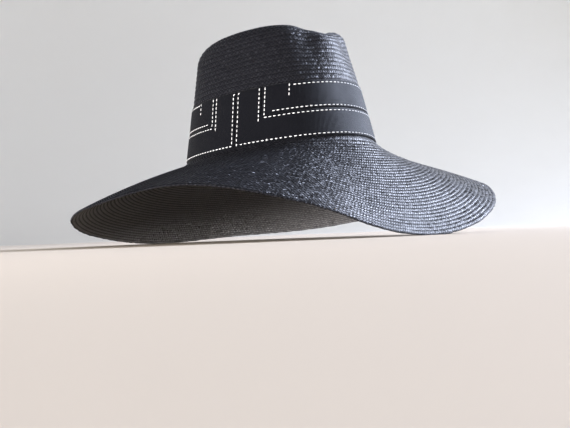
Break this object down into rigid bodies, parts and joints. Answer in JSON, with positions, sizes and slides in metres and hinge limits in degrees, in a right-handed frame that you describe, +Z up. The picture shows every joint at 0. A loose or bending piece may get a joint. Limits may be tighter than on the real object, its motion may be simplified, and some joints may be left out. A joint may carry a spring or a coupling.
{
  "type": "wide-brim straw sun hat",
  "caption": "Soft-brimmed straw sun hat with a dented crown, a broad drooping brim and two stitched ribbons round the crown.",
  "frame": {"origin": "on the surface that the hat rests on, under the middle of the space that the hat takes up", "axes": "+Z up, -Y the way the front of the hat faces, +X towards the wearer's left"},
  "size_m": [0.4113, 0.3978, 0.2045],
  "materials": {
    "straw_braid": "glossy black straw braid, sewn in rows",
    "grosgrain": "matt black ribbed ribbon with white running stitches"
  },
  "bodies": {
    "root": {"crown": "straw_braid", "brim": "straw_braid", "lower_ribbon": "grosgrain", "upper_ribbon": "grosgrain"}
  },
  "joints": []
}
